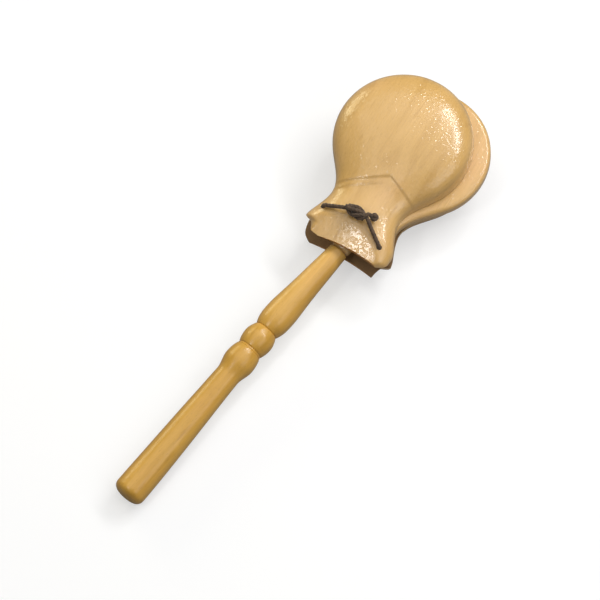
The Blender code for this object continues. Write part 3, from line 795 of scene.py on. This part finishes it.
def twisted_cord(name, route, place, swell_end=0.0):
    """A three-strand cord as one tube whose section turns along it. A cut end swells and then closes."""
    points, length = even_points(route)
    count = len(points) - 1
    bm = bmesh.new()
    rings = []
    normal = None
    for i, point in enumerate(points):
        ahead = (points[min(i + 1, count)] - points[max(i - 1, 0)]).normalized()
        if normal is None:
            normal = ahead.orthogonal().normalized()
        normal = (normal - ahead * normal.dot(ahead)).normalized()
        side = ahead.cross(normal)
        s = length * i / count
        twist = 2 * math.pi * s / TWIST_PITCH
        left = length - s
        swell = 1 + swell_end * math.exp(-((left - SWELL_AT) / SWELL_WIDTH) ** 2)
        closing = min(1.0, (left / CLOSING_LENGTH) ** 0.5 + CLOSING_LEAST) if swell_end else 1.0
        ring = []
        for j in range(CORD_SIDES):
            angle = 2 * math.pi * j / CORD_SIDES
            lobe = abs(math.sin(STRANDS / 2 * (angle - twist)))
            fuzz = noise.noise((point + Vector((angle, 0, 0))) * FUZZ_SCALE) * FUZZ
            radius = CORD_RADIUS * (CORD_CORE + STRAND_RELIEF * lobe + fuzz) * swell * closing
            ring.append(bm.verts.new(point + (normal * math.cos(angle) + side * math.sin(angle)) * radius))
        rings.append(ring)
    for ring, following in zip(rings, rings[1:]):
        for j in range(CORD_SIDES):
            k = (j + 1) % CORD_SIDES
            bm.faces.new((ring[j], ring[k], following[k], following[j]))
    bm.faces.new(rings[0])
    bm.faces.new(rings[-1])
    return finish_mesh(name, bm, place, CORD_SMOOTH_ANGLE_DEG)


def build_front_cord():
    """The left strand, wound lengthwise as the knot, and the right one, held in it."""
    wrap = 2 * CORD_RADIUS + KNOT_CLEARANCE
    pitch = 2 * CORD_RADIUS + CLEARANCE
    length = pitch * KNOT_TURNS
    axis = Vector((math.sin(KNOT_TURN), -math.cos(KNOT_TURN), 0))
    ahead = Vector((math.cos(KNOT_TURN), math.sin(KNOT_TURN), 0))
    up = Vector((0, 0, 1))
    centre = lies_on_shell(KNOT_ALONG, KNOT_ASIDE, FRONT_TURN, wrap + CLEARANCE)

    def near_knot(along, forward, rise):
        return centre + axis * along + ahead * forward + up * rise

    winding = []
    count = KNOT_PASSES * KNOT_PASS_STEPS
    half = length / 2 - KNOT_END_ROOM
    for i in range(count + 1):
        share = i / count
        along = -half * math.cos(math.pi * KNOT_PASSES * share)
        angle = KNOT_START - 2 * math.pi * share - KNOT_LAY * along / half
        spread = wrap * (1 - KNOT_TAPER * (along / half) ** 2)
        winding.append(near_knot(along, spread * math.cos(angle), spread * math.sin(angle)))
    arrive = near_knot(-length / 2 - 2 * CORD_RADIUS, -wrap / 2, -wrap / 2)
    tail = [near_knot(length / 2 + CORD_RADIUS * a, TAIL_LENGTH * b, wrap * c) for a, b, c in TAIL_SHARES]
    eye_radius = CORD_RADIUS * TAIL_EYE_SHARE
    eye = tail[-1] + axis * eye_radius
    for i in range(1, TAIL_EYE_STEPS + 1):
        angle = math.pi + 2 * math.pi * i / TAIL_EYE_STEPS
        around = (axis * math.cos(angle) + ahead * math.sin(angle)) * eye_radius
        tail.append(eye + around + up * (CORD_RADIUS * TAIL_EYE_RISE * i))
    lead = leg_and_bend(1, FRONT_TURN, arrive.xy)
    left = smooth_route([*lead, arrive, winding[0]], LEAD_STEPS)[:-1] + winding
    left += smooth_route([winding[-1], *tail], LEAD_STEPS)[1:]
    leave = near_knot(length / 2 + CORD_RADIUS, 0, 0)
    lead = leg_and_bend(-1, FRONT_TURN, leave.xy)
    stub = near_knot(-length / 2 - CORD_RADIUS, 0, 0)
    right = smooth_route([*lead, (lead[-1] + leave) / 2, leave, near_knot(0, 0, 0), stub], LEAD_STEPS)
    strands = (
        ("knotted_cord", left, "front_cord_left", TAIL_SWELL),
        ("held_cord", right, "front_cord_right", 0.0),
    )
    pieces = []
    for name, route, node, swell_end in strands:
        cord = twisted_cord(name, smooth_route(route, FRONT_CORD_STEPS), FRONT_FRAME, swell_end)
        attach(cord, "front_clapper")
        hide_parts(node)
        pieces.append(cord)
    return pieces


def build_rear_cord():
    """The loop from hole to hole over the rear shell's back."""
    left = leg_and_bend(1, REAR_TURN, (0, 0))
    right = leg_and_bend(-1, REAR_TURN, (0, 0))
    middle = lies_on_shell(0, 0, REAR_TURN, CLEARANCE)
    route = smooth_route([*left, middle, *reversed(right)], REAR_CORD_STEPS)
    cord = twisted_cord("rear_loop_cord", route, REAR_FRAME)
    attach(cord, "rear_clapper")
    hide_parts("rear_cord")
    return cord


def build_board_cords():
    pieces = []
    for side, place in ((1, "left"), (-1, "right")):
        y = side * HOLE_SPACING / 2
        top = HALF_BOARD - CLEARANCE
        cord = twisted_cord(f"inner_cord_{place}", [Vector((0, y, -top)), Vector((0, y, top))], MIDDLE_FRAME)
        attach(cord, "handle_and_board")
        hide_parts(f"board_cord_{place}")
        pieces.append(cord)
    return pieces


# Materials


class Shader:
    """A material's node tree with short ways to add and join nodes."""

    def __init__(self, name):
        self.material = bpy.data.materials.new(name)
        self.material.use_nodes = True
        self.tree = self.material.node_tree
        self.bsdf = self.tree.nodes["Principled BSDF"]

    def add(self, kind, inputs=None, **settings):
        node = self.tree.nodes.new(kind)
        for key, value in settings.items():
            setattr(node, key, value)
        for key, value in (inputs or {}).items():
            if isinstance(value, bpy.types.NodeSocket):
                self.tree.links.new(value, node.inputs[key])
            else:
                node.inputs[key].default_value = value
        return node

    def place(self):
        return self.add("ShaderNodeTexCoord").outputs["Object"]

    def noise(self, place, scale, detail):
        inputs = {"Vector": place, "Scale": scale, "Detail": detail}
        return self.add("ShaderNodeTexNoise", inputs).outputs["Fac"]

    def map_range(self, value, low, high, to_low=0.0, to_high=1.0):
        inputs = {"Value": value, "From Min": low, "From Max": high, "To Min": to_low, "To Max": to_high}
        return self.add("ShaderNodeMapRange", inputs).outputs[0]

    def bump(self, strength, distance, height):
        inputs = {"Strength": strength, "Distance": distance, "Height": height}
        return self.add("ShaderNodeBump", inputs).outputs[0]

    def ramp(self, factor, stops):
        node = self.add("ShaderNodeValToRGB", {"Fac": factor})
        elements = node.color_ramp.elements
        while len(elements) < len(stops):
            elements.new(0.5)
        for element, (place, colour) in zip(elements, stops):
            element.position = place
            element.color = (*colour, 1)
        return node.outputs["Color"]

    def mix(self, factor, a, b, blend="MIX"):
        node = self.add("ShaderNodeMix", data_type="RGBA", blend_type=blend)
        for socket, value in ((node.inputs[0], factor), (node.inputs[6], a), (node.inputs[7], b)):
            if isinstance(value, bpy.types.NodeSocket):
                self.tree.links.new(value, socket)
            else:
                socket.default_value = value if isinstance(value, float) else (*value, 1)
        return node.outputs[2]

    def tint(self, colour, factor, stops):
        return self.mix(1.0, colour, self.ramp(factor, stops), "MULTIPLY")

    def math(self, operation, a, b):
        return self.add("ShaderNodeMath", {0: a, 1: b}, operation=operation).outputs[0]

    def link(self, value, socket):
        self.tree.links.new(value, self.bsdf.inputs[socket])

    def set(self, values):
        for socket, value in values.items():
            self.bsdf.inputs[socket].default_value = value


def wood(name, tones, pore, turn_deg, roughness, speckle, coat, coat_roughness, lengthwise=()):
    """Oiled wood: growth bands from the darkest tone to the lightest, a few dark streaks, long fibres and
    short pores along the grain, under a thin brushed varnish whose small bumps catch the light. The grain
    is turned from the handle's direction, and lengthwise tones follow the handle from butt to top."""
    s = Shader(name)
    place = s.place()
    turn = (0, 0, math.radians(turn_deg))
    turned = s.add("ShaderNodeMapping", {"Vector": place, "Rotation": turn}).outputs[0]

    def along_grain(scale, detail, rough=0.55, bend=0.0):
        space = s.add("ShaderNodeMapping", {"Vector": turned, "Scale": scale}).outputs[0]
        settings = {"Vector": space, "Scale": 1.0, "Detail": detail, "Roughness": rough, "Distortion": bend}
        return s.add("ShaderNodeTexNoise", settings).outputs["Fac"]

    fibres = along_grain(*FIBRES)
    pore_mask = s.ramp(along_grain(*PORES), PORE_MASK)
    colour = s.ramp(along_grain(*BANDS), tuple(zip(BAND_PLACES, tones)))
    colour = s.tint(colour, fibres, FIBRE_TONES)
    colour = s.tint(colour, along_grain(*STREAKS), STREAK_TONES)
    colour = s.mix(s.math("MULTIPLY", pore_mask, PORE_SHARE), colour, pore)
    colour = s.tint(colour, s.noise(turned, *CLOUD), CLOUD_TONES)
    if lengthwise:
        along = s.add("ShaderNodeSeparateXYZ", {"Vector": place}).outputs["X"]
        butt, top = -(HANDLE_TO_HOLES + HANDLE_LENGTH), -HANDLE_TO_HOLES
        colour = s.tint(colour, s.map_range(along, butt, top), lengthwise)
    s.link(colour, "Base Color")
    smoothest, roughest = (roughness + spread for spread in ROUGHNESS_SPREAD)
    s.link(s.map_range(fibres, *FIBRE_RANGE, smoothest, roughest), "Roughness")
    raised = s.math("MULTIPLY", fibres, FIBRE_RELIEF)
    relief = s.math("ADD", raised, s.math("MULTIPLY", pore_mask, PORE_RELIEF))
    s.link(s.bump(*GRAIN_BUMP, relief), "Normal")
    beads = s.ramp(s.noise(place, *BEADS), BEAD_MASK)
    s.link(s.bump(speckle, BEAD_HEIGHT, beads), "Coat Normal")
    s.set({"Coat Weight": coat, "Coat Roughness": coat_roughness, "IOR": WOOD_IOR})
    return s.material


def cord_material():
    s = Shader("waxed_cord")
    place = s.place()
    fibres = s.noise(place, *CORD_FIBRES)
    colour = s.tint(s.ramp(fibres, CORD_TONES), s.noise(place, *CORD_PATCHES), CORD_PATCH_TONES)
    s.link(colour, "Base Color")
    s.link(s.bump(*CORD_BUMP, fibres), "Normal")
    s.set({"Roughness": 0.72, "Sheen Weight": 0.25})
    return s.material


def floor_material():
    """White paper to the camera, with a light shadow near the instrument, and a greyer table to it."""
    s = Shader("pale_floor")
    seen = s.add("ShaderNodeLightPath").outputs["Is Camera Ray"]
    distance = s.add("ShaderNodeVectorMath", {0: s.place()}, operation="LENGTH").outputs["Value"]
    far = s.map_range(distance, *FAR_RANGE)
    s.link(s.mix(seen, TABLE, s.mix(far, PAPER, BLACK)), "Base Color")
    glow = s.math("ADD", NEAR_GLOW, s.math("MULTIPLY", far, FAR_GLOW))
    s.link(s.math("MULTIPLY", seen, glow), "Emission Strength")
    s.set({"Emission Color": (1, 1, 1, 1), "Roughness": 0.9, "Specular IOR Level": 0.0})
    return s.material


def paint(thing, material):
    thing.data.materials.clear()
    thing.data.materials.append(material)


# Studio


def area_light(name, azimuth_deg, elevation_deg, distance, width, height, watts, colour):
    """A soft rectangular lamp that stands in that direction from the instrument and faces it."""
    light = bpy.data.lights.new(name, "AREA")
    light.shape = "RECTANGLE"
    light.size = width
    light.size_y = height
    light.energy = watts
    light.color = colour
    lamp = bpy.data.objects.new(name, light)
    azimuth = math.radians(azimuth_deg)
    elevation = math.radians(elevation_deg)
    level = Vector((math.cos(azimuth), math.sin(azimuth), 0)) * math.cos(elevation)
    out = level + Vector((0, 0, math.sin(elevation)))
    lamp.location = LAMP_AIM + out * distance
    lamp.rotation_euler = (LAMP_AIM - lamp.location).to_track_quat("-Z", "Y").to_euler()
    bpy.context.scene.collection.objects.link(lamp)


def build_floor():
    bm = bmesh.new()
    bmesh.ops.create_grid(bm, x_segments=1, y_segments=1, size=FLOOR_SIZE)
    floor = finish_mesh("floor", bm, Matrix.Translation((0, 0, -FLOOR_DROP)))
    paint(floor, floor_material())


def build_world():
    """A world that is white to the camera and lights the instrument only a little."""
    world = bpy.data.worlds.new("studio")
    bpy.context.scene.world = world
    world.use_nodes = True
    nodes, links = world.node_tree.nodes, world.node_tree.links
    background = nodes["Background"]
    background.inputs["Color"].default_value = (1.0, 1.0, 1.0, 1)
    path = nodes.new("ShaderNodeLightPath")
    seen = nodes.new("ShaderNodeMath")
    seen.operation = "MAXIMUM"
    links.new(path.outputs["Is Camera Ray"], seen.inputs[0])
    links.new(path.outputs["Is Transmission Ray"], seen.inputs[1])
    strength = nodes.new("ShaderNodeMapRange")
    strength.inputs["To Min"].default_value = WORLD_LIGHT
    strength.inputs["To Max"].default_value = 1.0
    links.new(seen.outputs[0], strength.inputs["Value"])
    links.new(strength.outputs[0], background.inputs["Strength"])


def build_camera():
    camera = bpy.data.cameras.new("camera")
    camera.sensor_fit = "HORIZONTAL"
    camera.sensor_width = SENSOR_WIDTH
    camera.lens = CAMERA_LENS
    camera.clip_start, camera.clip_end = CAMERA_CLIP
    right = Vector((math.cos(CAMERA_AZIMUTH), math.sin(CAMERA_AZIMUTH), 0))
    ahead = Vector((-math.sin(CAMERA_AZIMUTH), math.cos(CAMERA_AZIMUTH), 0)) * math.cos(CAMERA_ELEVATION)
    ahead.z = -math.sin(CAMERA_ELEVATION)
    up = right.cross(ahead)
    rolled_right = right * math.cos(CAMERA_ROLL) - up * math.sin(CAMERA_ROLL)
    rolled_up = right * math.sin(CAMERA_ROLL) + up * math.cos(CAMERA_ROLL)
    place = Matrix((rolled_right, rolled_up, -ahead)).transposed().to_4x4()
    place.translation = CAMERA_AIM - ahead * CAMERA_DISTANCE
    thing = bpy.data.objects.new("camera", camera)
    thing.matrix_world = place
    bpy.context.scene.collection.objects.link(thing)
    bpy.context.scene.camera = thing


def shell_woods():
    """The shells' three materials: varnished wood, bare wood inside that is darkened partly as painted shade,
    and end grain.
    """
    varnished = wood(
        "blond_wood", tones=((0.60, 0.35, 0.108), (0.70, 0.43, 0.15), (0.76, 0.48, 0.19)),
        pore=(0.48, 0.26, 0.08), turn_deg=-8.0, roughness=0.30, speckle=1.0, coat=0.8, coat_roughness=0.15,
    )
    # Bare inner wood, kept dark partly as painted shade of the gap between the shells
    bare = wood(
        "bare_inner_wood_and_painted_shade", tones=((0.15, 0.083, 0.030), (0.22, 0.125, 0.047), (0.27, 0.155, 0.060)),
        pore=(0.09, 0.05, 0.02), turn_deg=-8.0, roughness=0.70, speckle=0.1, coat=0.0, coat_roughness=0.5,
    )
    end_grain = wood(
        "end_grain", tones=((0.54, 0.24, 0.060), (0.66, 0.32, 0.088), (0.74, 0.37, 0.110)),
        pore=(0.30, 0.13, 0.04), turn_deg=-8.0, roughness=0.62, speckle=0.1, coat=0.0, coat_roughness=0.5,
    )
    return varnished, bare, end_grain


def main():
    woods = shell_woods()
    handle_wood = wood(
        "golden_wood", tones=((0.53, 0.28, 0.046), (0.71, 0.40, 0.082), (0.80, 0.475, 0.118)),
        pore=(0.36, 0.17, 0.03), turn_deg=0.0, roughness=0.36, speckle=0.5, coat=0.4, coat_roughness=0.20,
        lengthwise=HANDLE_TONES,
    )
    cord = cord_material()
    paint(build_handle(), handle_wood)
    paint(build_board(), woods[0])
    build_shell("front_clapper_shell", "front_shell", "front_clapper", FRONT_FRAME, FRONT_TURN, 1.7, woods)
    build_shell("rear_clapper_shell", "rear_shell", "rear_clapper", REAR_FRAME, REAR_TURN, 8.3, woods)
    for piece in [*build_front_cord(), build_rear_cord(), *build_board_cords()]:
        paint(piece, cord)
    build_floor()
    build_world()
    for lamp in LAMPS:
        area_light(*lamp)
    build_camera()
    bpy.context.scene.view_settings.view_transform = "Standard"


main()
